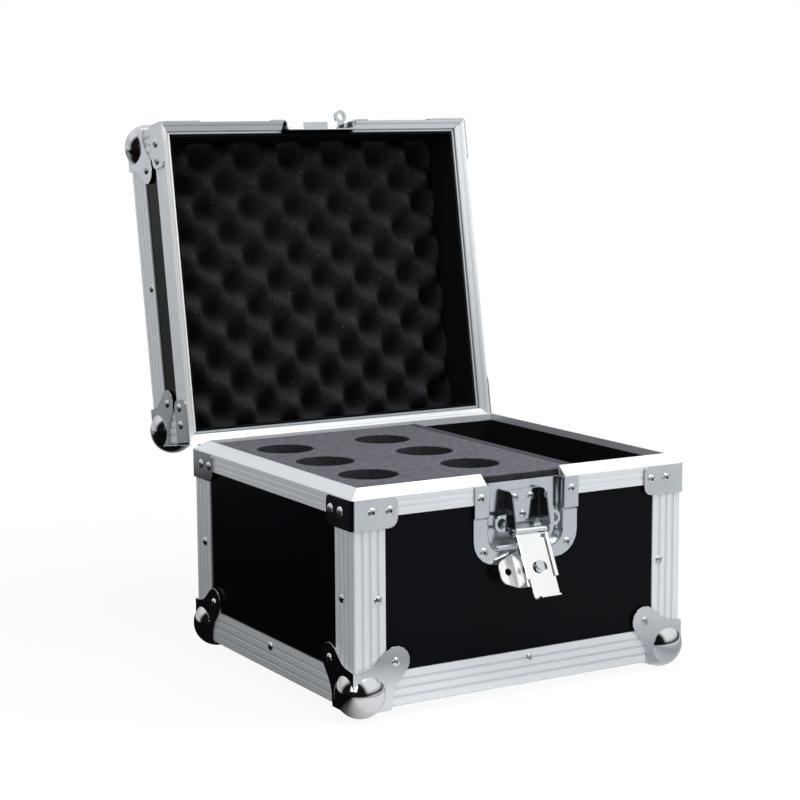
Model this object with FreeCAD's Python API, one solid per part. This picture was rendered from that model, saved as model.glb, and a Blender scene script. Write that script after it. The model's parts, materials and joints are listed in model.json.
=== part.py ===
import FreeCAD, Part
import math
import os

# Flight case with a hinged lid, in millimetres: the front faces -Y and the floor is at Z = 0

# Whole case
case_width = 330.0
case_depth = 298.0
base_height = 175.7  # lower edge of the bottom rails to the seam
lid_height = 81.0  # seam to the outer edge of the lid's top rails
lid_open_angle = 99.6  # degrees
fit_gap = 0.3  # play between pieces that are pushed in
mitre_gap = 0.2
facet_depth = 0.25  # how far the flats of an eased or pressed bend leave its true curve
round_sides = 24  # flats of a rivet head or a hinge knuckle

# Edge extrusion: two outer legs, two inner legs and a slot for each panel edge
leg_length = 30.0
inner_leg_length = 22.0
leg_wall = 1.5
edge_radius = 2.0
groove_width = 2.4
groove_depth = 0.3
groove_shares = (0.28, 0.52, 0.76)
panel_thickness = 7.0

# Closing profile: a ridge on the base that fits under a step in the lid
rim_proud = 0.5
base_rim_leg = 16.0
lid_rim_leg = 22.0
rim_groove_shares = (0.3, 0.62)
ridge_height = 7.9
ridge_flat = 1.0
rim_cap = 2.0
base_rim_inner_leg = 8.0
lid_rim_inner_leg = 18.0
lid_slot_height = 12.0
step_height = 10.2
step_width = 1.1
seam_gap = 0.4

# Ball corners: a dome and three lobed flanges
ball_radius = 21.5
ball_inset = 13.0
ball_sheet = 1.6
ball_sides = 15
ball_bands = 3  # between the pole and the point that touches the floor
flange_root = 34.5
neck_along = 16.0
neck_across = 36.5
neck_radius = 20.0
lobe_centre = 38.5
lobe_radius = 13.2
lobe_flats = 7

# Brace corners over the rim
brace_leg = 41.0
brace_height = 25.5
brace_sheet = 1.5
brace_bend = 3.0
brace_end_radius = 8.0
brace_seam_radius = 5.0

# Latch dishes: pressed sheet with a shallow recess that is open at the seam
latch_shift = 1.85
dish_half_width = 52.25
base_dish_length = 68.5
lid_dish_length = 44.0
base_dish_corner = 22.0
lid_dish_corner = 16.0
dish_border = 12.5
dish_sheet = 1.2
recess_half_width = 36.0
recess_depth = 7.0
base_recess_corner = 12.0
lid_recess_corner = 6.0
mouth_radius = 3.5
floor_bend = 1.5
base_joggle = 27.0
lid_joggle = 23.0
joggle_run = 2.0
cutout_margin = 0.1

# Latch bracket, padlock ears and pin
bracket_sheet = 1.5
bracket_top = 7.7
bracket_bottom = 33.7
cheek_half_gap = 16.4
cheek_top_reach = 4.5
cheek_nose = 4.2
cheek_round = 2.5
ear_offset = 26.0
ear_drop = 33.7
ear_reach = 2.6
ear_radius = 7.2
ear_hole_radius = 4.3
pin_reach = 6.3
pin_drop = 41.0
pin_radius = 1.6
pin_play = 0.05
pin_head_radius = 2.6
pin_head = 0.8

# Latch arm: a folded channel that is rolled round the pin
arm_tilt = 26.0  # degrees out from straight down
knuckle_radius = 2.75
cover_half_width = 15.8
cover_start = 3.5
cover_end = 41.5
cover_sheet = 1.2
cover_lip_face = 1.9
cover_lip_width = 4.0
cover_bend = 0.8

# Hook plate that slides in the channel
hook_half_width = 12.85
hook_start = 7.4
hook_end = 59.0
hook_back = 1.2
hook_sheet = 1.6
hook_lip_reach = 7.0
hook_corner = 3.0

# Spindle with its cam, and the butterfly that turns it
spindle_along = 30.5
spindle_radius = 2.4
spindle_play = 0.08
cam_radius = 4.5
cam_offset = 2.0
cam_slot_half_height = 5.2
cam_slot_half_width = 7.2
cam_play = 0.15
spindle_head_radius = 4.0
spindle_head_gap = 0.35
spindle_head = 0.85
spindle_tail_radius = 4.6
spindle_tail = 0.9
butterfly_sheet = 1.5
butterfly_gap = 0.35
wing_bend_at = 14.0
wing_bend_run = 2.6
wing_drop = 8.8
wing_tip = 32.0
wing_tip_half_width = 8.5
wing_tip_round = 7.5
wing_root_half_width = 18.0
wing_root_at = 8.0
wing_bend_radius = 1.2
wing_hole_at = 23.7
wing_hole_radius = 3.2
grip_tab_at = 12.0
grip_tab_drop = 6.9
grip_tab_half_width = 11.0

# Keeper and padlock staple in the lid's dish
keeper_half_width = 13.0
keeper_shelf = 10.5
keeper_reach = 1.0
keeper_top = 24.0
keeper_sheet = 1.5
staple_offset = 31.0
staple_height = 16.0
staple_sheet = 2.0
staple_radius = 6.5
staple_hole_radius = 3.2
staple_reach = 7.0
staple_neck = 6.8
staple_foot = 10.0

# Hinges at the back
hinge_brace_gap = 0.5
hinge_width = 50.0
hinge_axis_out = 5.9
hinge_axis_drop = 1.7
hinge_leaf = 1.8
hinge_leaf_height = 14.3
hinge_barrel_radius = 4.4
hinge_pin_radius = 2.0
hinge_pin_end = 0.5
hinge_lid_knuckle = 25.4
hinge_leaf_clear = 4.8
stop_ear = 3.0
stop_ear_start = 6.0
stop_ear_reach = 15.0
stop_ear_depth = 2.8

# Foam, divider and linings
foam_side_gap = 0.9  # between the inner legs and the foam
foam_share = 0.6833
foam_rise = 5.3
hole_diameter = 51.0
hole_depth = 145.0
hole_column_shares = (0.2142, 0.6937)
hole_row_shares = (0.2248, 0.5, 0.7752)
divider_gap = 0.5
divider_thickness = 9.0
lining_thickness = 2.0
lining_rise = 2.0
lid_lining_start = 9.2
pad_back = 4.0
pad_bump = 26.0
pad_pitch = 48.7
pad_phase = -8.0

# Carrying handle on the lid's top
handle_ear_offset = 55.0
handle_ear_width = 6.0
handle_ear_radius = 7.0
handle_axis_shift = -16.0
handle_axis_height = 10.5
handle_foot_length = 30.0
handle_foot_width = 26.0
handle_foot_sheet = 1.5
handle_foot_corner = 4.0
bail_radius = 4.0
bail_play = 0.08
bail_sides = 12
bail_reach = 38.0
bail_bend = 12.0
bail_end = 2.0
grip_radius = 9.0
grip_length = 96.0
grip_round = 2.0
grip_sides = 24
grip_play = 0.05

# Sizes that follow from the ones above
Vector = FreeCAD.Vector
X = Vector(1, 0, 0)
Y = Vector(0, 1, 0)
Z = Vector(0, 0, 1)
tiny = case_width * 1e-8
overrun = leg_length / 10
half_w = case_width / 2
half_d = case_depth / 2
wall = 2 * leg_wall + panel_thickness
slot = wall - leg_wall
ball_out = ball_radius - ball_inset
rail_z = ball_out
seam_z = rail_z + base_height
lid_top_z = seam_z + lid_height
rim_slope = ridge_height / (wall + rim_proud - ridge_flat)
bevel_wall = leg_wall * math.hypot(1, rim_slope)
notch_half_width = recess_half_width + mouth_radius + cutout_margin
hinge_offset = half_w - brace_leg - hinge_brace_gap - hinge_width / 2
hinge_y = half_d + hinge_axis_out
hinge_z = seam_z - hinge_axis_drop
leaf_face = hinge_axis_out - rim_proud
tilt = math.radians(arm_tilt)
pin_spot = Vector(latch_shift, -half_d - pin_reach, seam_z - pin_drop)
A = Vector(0, -math.sin(tilt), -math.cos(tilt))
N = Vector(0, -math.cos(tilt), math.sin(tilt))
foam_edge = wall + foam_side_gap
foam_left = -half_w + foam_edge
foam_half_depth = half_d - foam_edge
foam_right = foam_left * (1 - 2 * foam_share)
foam_floor = rail_z + wall + fit_gap
divider_left = foam_right + divider_gap
divider_right = divider_left + divider_thickness
lid_roof = lid_top_z - wall - fit_gap
ear_inside = handle_ear_offset - handle_ear_width / 2
ear_outside = handle_ear_offset + handle_ear_width / 2
bail_half_width = ear_outside + fit_gap + bail_bend


class Plane:
    """A drawing plane: its origin and the directions of its two axes."""

    def __init__(self, origin, across, up):
        self.origin = origin
        self.across = across
        self.up = up
        self.normal = across.cross(up)

    def at(self, a, b):
        return self.origin + self.across * a + self.up * b


def corner_arc(corners, i):
    """Start, end and centre of one corner's rounding; a sharp corner has no centre."""
    here = Vector(corners[i][0], corners[i][1], 0)
    if len(corners[i]) < 3:
        return here, here, None
    back = Vector(corners[i - 1][0], corners[i - 1][1], 0) - here
    following = corners[(i + 1) % len(corners)]
    ahead = Vector(following[0], following[1], 0) - here
    back.normalize()
    ahead.normalize()
    half = back.getAngle(ahead) / 2
    radius = corners[i][2]
    bisector = back + ahead
    bisector.normalize()
    run = radius / math.tan(half)
    return here + back * run, here + ahead * run, here + bisector * (radius / math.sin(half))


def flats(radius, turn):
    """How many flats draw a bend."""
    return max(1, round(turn / (2 * math.acos(1 - facet_depth / max(radius, facet_depth)))))


def chorded(corners):
    """The corners, with each rounded one drawn as a few equal chords."""
    points = []
    for i in range(len(corners)):
        start, end, centre = corner_arc(corners, i)
        if centre is None:
            points.append((start.x, start.y))
            continue
        first = start - centre
        last = end - centre
        turn = first.getAngle(last)
        count = flats(corners[i][2], turn)
        for j in range(count + 1):
            ahead = turn * j / count
            way = (first * math.sin(turn - ahead) + last * math.sin(ahead)) * (1 / math.sin(turn))
            points.append((centre.x + way.x, centre.y + way.y))
    return points


def outline(plane, corners):
    """Closed wire through corners (a, b) or (a, b, radius)."""
    arcs = [corner_arc(corners, i) for i in range(len(corners))]
    edges = []
    for i in range(len(corners)):
        start, end, centre = arcs[i]
        following = arcs[(i + 1) % len(corners)][0]
        if centre is not None:
            bulge = (start + end) * 0.5 - centre
            bulge.normalize()
            middle = centre + bulge * corners[i][2]
            points = [plane.at(p.x, p.y) for p in (start, middle, end)]
            edges.append(Part.Arc(points[0], points[1], points[2]).toShape())
        if end.distanceToPoint(following) > tiny:
            edges.append(Part.makeLine(plane.at(end.x, end.y), plane.at(following.x, following.y)))
    return Part.Wire(Part.__sortEdges__(edges))


def ring(plane, a, b, radius):
    """Circular wire."""
    return Part.Wire(Part.Circle(plane.at(a, b), plane.normal, radius).toShape())


def prism(plane, corners, push, holes=(), inner=()):
    """Outline pushed along a vector, with round holes (a, b, radius) and inner outlines."""
    wires = [outline(plane, corners)]
    wires += [ring(plane, a, b, radius) for a, b, radius in holes]
    wires += [outline(plane, shape) for shape in inner]
    face = Part.makeFace(wires, "Part::FaceMakerCheese")
    return face.extrude(push)


def block(low, high):
    """Box between two corners."""
    size = high - low
    return Part.makeBox(size.x, size.y, size.z, low)


def patch(points):
    """Flat face through points in order."""
    return Part.Face(Part.makePolygon(points + points[:1]))


def closed_solid(faces):
    """Solid inside flat faces that meet edge to edge."""
    shell = Part.Shell(faces)
    shell.sewShape()
    return Part.Solid(shell)


def spaced(centre, across, up, radius, count):
    """Points at equal steps round a circle."""
    turns = [2 * math.pi * i / count for i in range(count)]
    return [centre + across * (radius * math.cos(turn)) + up * (radius * math.sin(turn)) for turn in turns]


def faceted(rings):
    """Solid of flat facets between rings of points, closed by its end rings."""
    faces = [patch(rings[0]), patch(rings[-1])]
    for lower, upper in zip(rings, rings[1:]):
        for k in range(len(lower)):
            far = (k + 1) % len(lower)
            faces.append(patch([lower[k], lower[far], upper[far], upper[k]]))
    return closed_solid(faces)


def joined(shapes):
    """One solid from overlapping or touching solids."""
    whole = shapes[0].fuse(shapes[1:])
    return whole.removeSplitter()


def rod(start, finish, radius):
    """Round bar between two points."""
    return Part.makeCylinder(radius, start.distanceToPoint(finish), start, finish - start)


def flat_rod(start, finish, across, radius):
    """Bar of many flats between two points, with a ridge along one direction."""
    way = finish - start
    way.normalize()
    up = way.cross(across)
    rings = [spaced(spot, across, up, radius, round_sides) for spot in (start, finish)]
    return faceted(rings)


def lid_swing(shape):
    """A lid piece, drawn closed, swung open about the hinge axis."""
    swung = shape.copy()
    swung.rotate(Vector(0, hinge_y, hinge_z), X, -lid_open_angle)
    return swung


def corner_copies(shape):
    """A piece drawn at the front left corner, mirrored to all four corners."""
    right = shape.mirror(Vector(0, 0, 0), X)
    back = shape.mirror(Vector(0, 0, 0), Y)
    far = right.mirror(Vector(0, 0, 0), Y)
    return {"front_left": shape, "front_right": right, "back_left": back, "back_right": far}


def side_frame(name):
    """Corner, inward direction, run direction and run length of one side."""
    sides = {
        "front": (Vector(-half_w, -half_d, 0), Y, X, case_width),
        "back": (Vector(half_w, half_d, 0), -Y, -X, case_width),
        "left": (Vector(-half_w, half_d, 0), X, -Y, case_depth),
        "right": (Vector(half_w, -half_d, 0), -X, Y, case_depth),
    }
    return sides[name]


def mitred(name, z, up, corners, hollow):
    """Extrusion along one side, cut at 45 degrees at both ends."""
    corner, inward, run, length = side_frame(name)
    start = corner - run * overrun + Z * z
    bar = prism(Plane(start, inward, up), corners, run * (length + 2 * overrun), inner=[hollow])
    deep = leg_length + overrun
    low = Z * (z - deep)
    plan = Plane(corner + low, run, inward)
    gap = mitre_gap / 2
    wedge = [
        (gap - overrun, -overrun),
        (length + overrun - gap, -overrun),
        (length - deep - gap, deep),
        (deep + gap, deep),
    ]
    return bar.common(prism(plan, wedge, Z * (2 * deep)))


def grooved(length, shares, flip):
    """Shallow grooves along an outer face, as (distance, depth) pairs."""
    points = []
    for share in shares:
        middle = share * length
        points += [(middle - groove_width / 2, 0), (middle - groove_width / 2, groove_depth)]
        points += [(middle + groove_width / 2, groove_depth), (middle + groove_width / 2, 0)]
    if flip:
        points.reverse()
    return points


def angle_profile():
    """Double-angle section with its outer corner at zero, and its hollow."""
    outer = [(0, 0, edge_radius)]
    outer += grooved(leg_length, groove_shares, False)
    outer += [(leg_length, 0), (leg_length, leg_wall), (wall, leg_wall), (wall, slot)]
    outer += [(inner_leg_length, slot), (inner_leg_length, wall), (wall, wall)]
    outer += [(wall, inner_leg_length), (slot, inner_leg_length), (slot, wall)]
    outer += [(leg_wall, wall), (leg_wall, leg_length), (0, leg_length)]
    outer += [(depth, along) for along, depth in grooved(leg_length, groove_shares, True)]
    hollow = [(leg_wall, leg_wall), (slot, leg_wall), (slot, slot), (leg_wall, slot)]
    return chorded(outer), hollow


def base_rim_profile():
    """Male closing profile: (inward, up from the seam)."""
    outer = [(-rim_proud + depth, -along) for along, depth in
             grooved(base_rim_leg, rim_groove_shares, True)]
    outer = [(-rim_proud, -base_rim_leg)] + outer
    outer += [(-rim_proud, 0), (wall - ridge_flat, ridge_height), (wall, ridge_height)]
    outer += [(wall, -base_rim_inner_leg), (slot, -base_rim_inner_leg), (slot, -rim_cap)]
    outer += [(leg_wall, -rim_cap), (leg_wall, -base_rim_leg)]
    floor = leg_wall - rim_cap
    toe = (floor + bevel_wall) / rim_slope - rim_proud
    peak = rim_slope * (slot + rim_proud) - bevel_wall
    return outer, [(toe, floor), (slot, floor), (slot, peak)]


def lid_rim_profile():
    """Female closing profile: (inward, up from the seam)."""
    step_in = slot - step_width
    ledge = seam_gap + rim_slope * (step_in + rim_proud)
    lip = ridge_height + seam_gap
    outer = [(-rim_proud, seam_gap), (step_in, ledge), (step_in, step_height)]
    outer += [(slot, step_height), (slot, lip), (wall, lip), (wall, lid_rim_inner_leg)]
    outer += [(slot, lid_rim_inner_leg), (slot, lid_slot_height), (leg_wall, lid_slot_height)]
    outer += [(leg_wall, lid_rim_leg), (-rim_proud, lid_rim_leg)]
    outer += [(-rim_proud + depth, along) for along, depth in
              grooved(lid_rim_leg, rim_groove_shares, True)]
    near = seam_gap + rim_slope * (leg_wall + rim_proud) + bevel_wall
    far_in = step_in - leg_wall
    far = seam_gap + rim_slope * (far_in + rim_proud) + bevel_wall
    roof = lid_slot_height - leg_wall
    return outer, [(leg_wall, near), (far_in, far), (far_in, roof), (leg_wall, roof)]


def rails(z, up):
    """Four mitred edge extrusions at the bottom of the base or the top of the lid."""
    outer, hollow = angle_profile()
    return [mitred(name, z, up, outer, hollow) for name in ("front", "back", "left", "right")]


def posts(low, high):
    """Four upright edge extrusions."""
    outer, hollow = angle_profile()
    shapes = []
    for side in (-1, 1):
        for end in (-1, 1):
            foot = Plane(Vector(side * half_w, end * half_d, low), X * -side, Y * -end)
            shapes.append(prism(foot, outer, Z * (high - low), inner=[hollow]))
    return shapes


def rim(profile, name):
    """One side of a closing profile; the front one is parted at the latch dish."""
    outer, hollow = profile
    bar = mitred(name, seam_z, Z, outer, hollow)
    if name != "front":
        return [bar]
    reach = lid_rim_leg + overrun
    low = Vector(latch_shift - notch_half_width, -half_d - reach, seam_z - reach)
    high = Vector(latch_shift + notch_half_width, -half_d + reach, seam_z + reach)
    return bar.cut(block(low, high)).Solids


def dish_opening(up, length, corner):
    """Cut-out of a front panel for the latch dish."""
    half = notch_half_width
    end = length - dish_border + mouth_radius + cutout_margin
    bend = corner + mouth_radius
    plan = Plane(Vector(latch_shift, -half_d - overrun, seam_z), X, up)
    corners = [(-half, 0), (-half, end, bend), (half, end, bend), (half, 0)]
    return prism(plan, corners, Y * (wall + 2 * overrun))


def wall_panels(low, high):
    """Front, back, left and right panel between two heights."""
    reach_w = half_w - wall
    reach_d = half_d - wall
    return {
        "front": block(Vector(-reach_w, -half_d + leg_wall, low), Vector(reach_w, -half_d + slot, high)),
        "back": block(Vector(-reach_w, half_d - slot, low), Vector(reach_w, half_d - leg_wall, high)),
        "left": block(Vector(-half_w + leg_wall, -reach_d, low), Vector(-half_w + slot, reach_d, high)),
        "right": block(Vector(half_w - slot, -reach_d, low), Vector(half_w - leg_wall, reach_d, high)),
    }


def flat_panel(low):
    """Bottom or top panel."""
    reach_w = half_w - wall
    reach_d = half_d - wall
    return block(Vector(-reach_w, -reach_d, low), Vector(reach_w, reach_d, low + panel_thickness))


def ball_dome(centre):
    """Faceted ball with its pole on the corner's diagonal and a point down each axis."""
    pole = (X + Y + Z) * (-1 / math.sqrt(3))
    across = -Z - pole * (-Z).dot(pole)
    across.normalize()
    up = pole.cross(across)
    band = math.acos(1 / math.sqrt(3)) / ball_bands
    tilts = [band / 3] + [band * k for k in range(1, 2 * ball_bands + 1)]
    rings = []
    for tilt_angle in tilts:
        middle = centre + pole * (ball_radius * math.cos(tilt_angle))
        rings.append(spaced(middle, across, up, ball_radius * math.sin(tilt_angle), ball_sides))
    return faceted(rings)


def flange_outline():
    """Lobed flange of a ball corner, with a hollow neck on each side of the lobe."""
    along = lobe_centre - neck_along
    rise = lobe_centre - neck_across
    lean = math.atan2(rise, along) + math.asin(lobe_radius / math.hypot(along, rise))
    corners = [(-ball_sheet, -ball_sheet), (flange_root, -ball_sheet), (flange_root, 0)]
    corners.append((neck_across, neck_along, neck_radius))
    for j in range(lobe_flats + 1):
        turn = -lean + (math.pi / 2 + 2 * lean) * j / lobe_flats
        way = (math.cos(turn), math.sin(turn))
        corners.append(tuple(lobe_centre + lobe_radius * c for c in way))
    corners.append((neck_along, neck_across, neck_radius))
    corners += [(0, flange_root), (-ball_sheet, flange_root)]
    return chorded(corners)


def ball_corner():
    """Ball corner at the front left bottom corner of a case that starts at zero height."""
    flange = flange_outline()
    spot = Vector(-half_w, -half_d, 0)
    shapes = [prism(Plane(spot, X, Z), flange, Y * -ball_sheet)]
    shapes.append(prism(Plane(spot, Y, Z), flange, X * -ball_sheet))
    shapes.append(prism(Plane(spot, X, Y), flange, Z * -ball_sheet))
    shapes.append(ball_dome(spot + (X + Y + Z) * ball_inset))
    inside = block(spot, spot + (X + Y + Z) * (lobe_centre + 2 * lobe_radius))
    return joined(shapes).cut(inside)


def brace_corner(low, high, round_low):
    """Bent angle plate over the rim at the front left corner."""
    face = rim_proud
    outer = rim_proud + brace_sheet
    spot = Vector(-half_w, -half_d, 0)
    turn = brace_bend - outer
    low_radius = brace_end_radius if round_low else brace_seam_radius
    high_radius = brace_seam_radius if round_low else brace_end_radius
    leg = [(turn, low), (brace_leg, low, low_radius), (brace_leg, high, high_radius), (turn, high)]
    shapes = [prism(Plane(spot - Y * face, X, Z), chorded(leg), Y * -brace_sheet)]
    shapes.append(prism(Plane(spot - X * face, Y, Z), chorded(leg), X * -brace_sheet))
    bend = [(turn, -outer), (-outer, -outer, brace_bend), (-outer, turn)]
    bend += [(-face, turn), (-face, -face), (turn, -face)]
    shapes.append(prism(Plane(spot + Z * low, X, Y), chorded(bend), Z * (high - low)))
    return joined(shapes)


def dish_section(lift, reach):
    """Section of the dish's edge: (outward from the recess wall, inward from the case face)."""
    back = recess_depth + dish_sheet
    return chorded([
        (reach, lift),
        (0, lift, mouth_radius),
        (0, recess_depth, floor_bend),
        (-floor_bend, recess_depth),
        (-floor_bend, back),
        (dish_sheet, back, floor_bend + dish_sheet),
        (dish_sheet, lift + dish_sheet, mouth_radius - dish_sheet),
        (reach, lift + dish_sheet),
    ])


def latch_dish(up, length, corner, outer_corner, joggle):
    """Pressed dish: flange on the panel, tabs stepped out over the rim, shallow recess."""
    end = length - dish_border
    turn = end - corner
    low_lift = leg_wall - dish_sheet
    high_lift = -rim_proud - dish_sheet
    start = seam_gap / 2
    middle = Vector(latch_shift, -half_d, seam_z)
    shapes = []
    for side in (-1, 1):
        edge = middle + X * (side * recess_half_width)
        reach = dish_half_width - recess_half_width
        tab = Plane(edge + up * start, X * side, Y)
        shapes.append(prism(tab, dish_section(high_lift, reach), up * (joggle - start)))
        upper = outline(Plane(edge + up * joggle, X * side, Y), dish_section(high_lift, reach))
        step = joggle + joggle_run
        lower = outline(Plane(edge + up * step, X * side, Y), dish_section(low_lift, reach))
        shapes.append(Part.makeLoft([upper, lower], True, True))
        flat = Plane(edge + up * step, X * side, Y)
        shapes.append(prism(flat, dish_section(low_lift, reach), up * (turn - step)))
        pivot = edge - X * (side * corner) + up * turn
        rings = []
        count = flats(corner + mouth_radius, math.pi / 2)
        for j in range(count + 1):
            around = math.pi / 2 * j / count
            out = X * (side * math.cos(around)) + up * math.sin(around)
            section = dish_section(low_lift, mouth_radius)
            rings.append([pivot + out * (corner + a) + Y * b for a, b in section])
        shapes.append(faceted(rings))
    run = 2 * (recess_half_width - corner)
    sill = Plane(middle - X * (run / 2) + up * end, up, Y)
    shapes.append(prism(sill, dish_section(low_lift, mouth_radius), X * run))
    plan = Plane(middle + Y * recess_depth, X, up)
    half = recess_half_width - floor_bend
    bend = corner - floor_bend
    floor = [(-half, start), (-half, end - floor_bend, bend), (half, end - floor_bend, bend), (half, start)]
    shapes.append(prism(plan, chorded(floor), Y * dish_sheet))
    mouth = recess_half_width + mouth_radius
    flange = [(-dish_half_width, turn), (-dish_half_width, length, outer_corner)]
    flange += [(dish_half_width, length, outer_corner), (dish_half_width, turn), (mouth, turn)]
    flange += [(mouth, end + mouth_radius, corner + mouth_radius)]
    flange += [(-mouth, end + mouth_radius, corner + mouth_radius), (-mouth, turn)]
    shapes.append(prism(Plane(middle + Y * low_lift, X, up), chorded(flange), Y * dish_sheet))
    return joined(shapes)


def latch_bracket():
    """Hat-section bracket with two cheeks for the pin and two padlock ears."""
    middle = Vector(latch_shift, -half_d, seam_z)
    outer = cheek_half_gap + bracket_sheet
    foot = recess_depth
    plate = [(-outer, -bracket_bottom), (outer, -bracket_bottom)]
    plate += [(outer, -bracket_top), (-outer, -bracket_top)]
    shapes = [prism(Plane(middle + Y * (foot - bracket_sheet), X, Z), plate, Y * bracket_sheet)]
    nose = -pin_reach - cheek_nose
    sole = -pin_drop - cheek_nose
    cheek = [(foot, -bracket_top), (-cheek_top_reach, -bracket_top, cheek_round)]
    cheek += [(nose, -pin_drop + cheek_nose, cheek_nose), (nose, sole, cheek_nose)]
    cheek += [(nose + 2 * cheek_nose, sole, cheek_nose), (foot, -bracket_bottom)]
    bore = [(-pin_reach, -pin_drop, pin_radius + pin_play)]
    for side in (-1, 1):
        near = middle + X * (side * cheek_half_gap)
        shapes.append(prism(Plane(near, Y, Z), chorded(cheek), X * (side * bracket_sheet), holes=bore))
        tip = ear_offset + ear_radius
        ear = [(outer, -ear_drop + ear_radius), (tip, -ear_drop + ear_radius, ear_radius)]
        ear += [(tip, -ear_drop - ear_radius, ear_radius), (outer, -ear_drop - ear_radius)]
        hole = [(ear_offset, -ear_drop, ear_hole_radius)]
        front = Plane(middle - Y * ear_reach, X * side, Z)
        shapes.append(prism(front, chorded(ear), Y * bracket_sheet, holes=hole))
    return joined(shapes)


def latch_pin():
    """Headed pin through the bracket's cheeks."""
    reach = cheek_half_gap + bracket_sheet
    shapes = [rod(pin_spot - X * (reach + pin_head), pin_spot + X * (reach + pin_head), pin_radius)]
    for side in (-1, 1):
        seat = pin_spot + X * (side * reach)
        shapes.append(flat_rod(seat, seat + X * (side * pin_head), Y, pin_head_radius))
    return joined(shapes)


def latch_cover():
    """Channel with turned-in lips, rolled round the pin at one end."""
    back = -knuckle_radius
    inner = back + cover_sheet
    under = cover_lip_face - cover_sheet
    wide = cover_half_width
    thin = wide - cover_sheet
    lip = wide - cover_lip_width
    section = [(-wide, back, cover_bend), (wide, back, cover_bend), (wide, cover_lip_face, cover_bend)]
    section += [(lip, cover_lip_face), (lip, under), (thin, under), (thin, inner)]
    section += [(-thin, inner), (-thin, under), (-lip, under), (-lip, cover_lip_face)]
    section += [(-wide, cover_lip_face, cover_bend)]
    channel = Plane(pin_spot + A * cover_start, X, N)
    shapes = [prism(channel, chorded(section), A * (cover_end - cover_start))]
    web = [(-wide, 0), (wide, 0), (wide, cover_start), (-wide, cover_start)]
    shapes.append(prism(Plane(pin_spot + N * back, X, A), web, N * cover_sheet))
    shapes.append(rod(pin_spot - X * wide, pin_spot + X * wide, knuckle_radius))
    bore = rod(pin_spot - X * (2 * wide), pin_spot + X * (2 * wide), pin_radius + pin_play)
    seat = pin_spot + A * spindle_along
    hole = rod(seat + N * (2 * back), seat, spindle_radius + spindle_play)
    return joined(shapes).cut(bore).cut(hole)


def latch_hook():
    """Sliding plate with a rounded cross slot for the cam and a turned lip at its end."""
    wide = hook_half_width
    slot_at = spindle_along + cam_offset
    low = slot_at - cam_slot_half_height
    high = slot_at + cam_slot_half_height
    reach = cam_slot_half_width
    plate = [(-wide, hook_start), (wide, hook_start)]
    plate += [(wide, hook_end, hook_corner), (-wide, hook_end, hook_corner)]
    turn = cam_slot_half_height
    opening = [(-reach, low, turn), (reach, low, turn), (reach, high, turn), (-reach, high, turn)]
    base = Plane(pin_spot - N * hook_back, X, A)
    shapes = [prism(base, chorded(plate), N * hook_sheet, inner=[chorded(opening)])]
    narrow = wide - hook_corner
    lip = [(-narrow, hook_end - hook_sheet), (narrow, hook_end - hook_sheet)]
    lip += [(narrow, hook_end), (-narrow, hook_end)]
    shapes.append(prism(base, lip, N * (hook_back + hook_lip_reach)))
    return joined(shapes)


def latch_spindle():
    """Shaft, cam disc, visible head and tail head."""
    seat = pin_spot + A * spindle_along
    top = hook_sheet - hook_back
    cam_low = cam_play - knuckle_radius + cover_sheet
    head_low = top + spindle_head_gap
    hub_back = -knuckle_radius - butterfly_gap - butterfly_sheet
    end = seat + N * (hub_back - spindle_tail)
    head = seat + N * head_low
    shapes = [rod(end, head, spindle_radius)]
    shapes.append(flat_rod(head, seat + N * (head_low + spindle_head), X, spindle_head_radius))
    shapes.append(flat_rod(end, seat + N * hub_back, X, spindle_tail_radius))
    cam = seat + A * cam_offset
    shapes.append(flat_rod(cam + N * cam_low, cam + N * head_low, X, cam_radius))
    return joined(shapes)


def latch_butterfly():
    """Bent plate: hub, one broad padlock wing and a short grip tab."""
    face = -knuckle_radius - butterfly_gap
    back = face - butterfly_sheet
    far = wing_bend_at + wing_bend_run
    bend = wing_bend_radius
    thick = butterfly_sheet
    section = [(grip_tab_at, face), (-wing_bend_at, face, bend + thick)]
    section += [(-far, face - wing_drop, bend), (-wing_tip, face - wing_drop)]
    section += [(-wing_tip, back - wing_drop)]
    lean = wing_bend_run / wing_drop
    shift = thick * (math.hypot(1, lean) - lean)
    section += [(-far + shift, back - wing_drop, bend + thick), (-wing_bend_at + shift, back, bend)]
    section += [(grip_tab_at - thick, back), (grip_tab_at - thick, face - grip_tab_drop)]
    section += [(grip_tab_at, face - grip_tab_drop)]
    seat = pin_spot + A * spindle_along
    reach = wing_root_half_width
    sheet = prism(Plane(seat - A * reach, X, N), chorded(section), A * (2 * reach))
    tip = (-wing_tip, wing_tip_half_width, wing_tip_round)
    low_tip = (-wing_tip, -wing_tip_half_width, wing_tip_round)
    shape = [(grip_tab_at, -grip_tab_half_width), (grip_tab_at, grip_tab_half_width)]
    shape += [(-wing_root_at, reach, wing_bend_at), tip, low_tip, (-wing_root_at, -reach, wing_bend_at)]
    holes = [(0, 0, spindle_radius + pin_play), (-wing_hole_at, 0, wing_hole_radius)]
    depth = wing_drop + 2 * butterfly_sheet + overrun
    plan = Plane(seat + N * (face + overrun), X, A)
    return sheet.common(prism(plan, shape, N * (-depth - overrun), holes=holes))


def latch_keeper():
    """Folded plate in the lid's dish with a shelf that the hook draws down on."""
    middle = Vector(latch_shift, -half_d, seam_z)
    foot = recess_depth
    face = foot - keeper_sheet
    section = [(foot, keeper_shelf), (-keeper_reach, keeper_shelf)]
    section += [(-keeper_reach, keeper_shelf + keeper_sheet), (face, keeper_shelf + keeper_sheet)]
    section += [(face, keeper_top), (foot, keeper_top)]
    edge = Plane(middle - X * keeper_half_width, Y, Z)
    return prism(edge, section, X * (2 * keeper_half_width))


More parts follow.
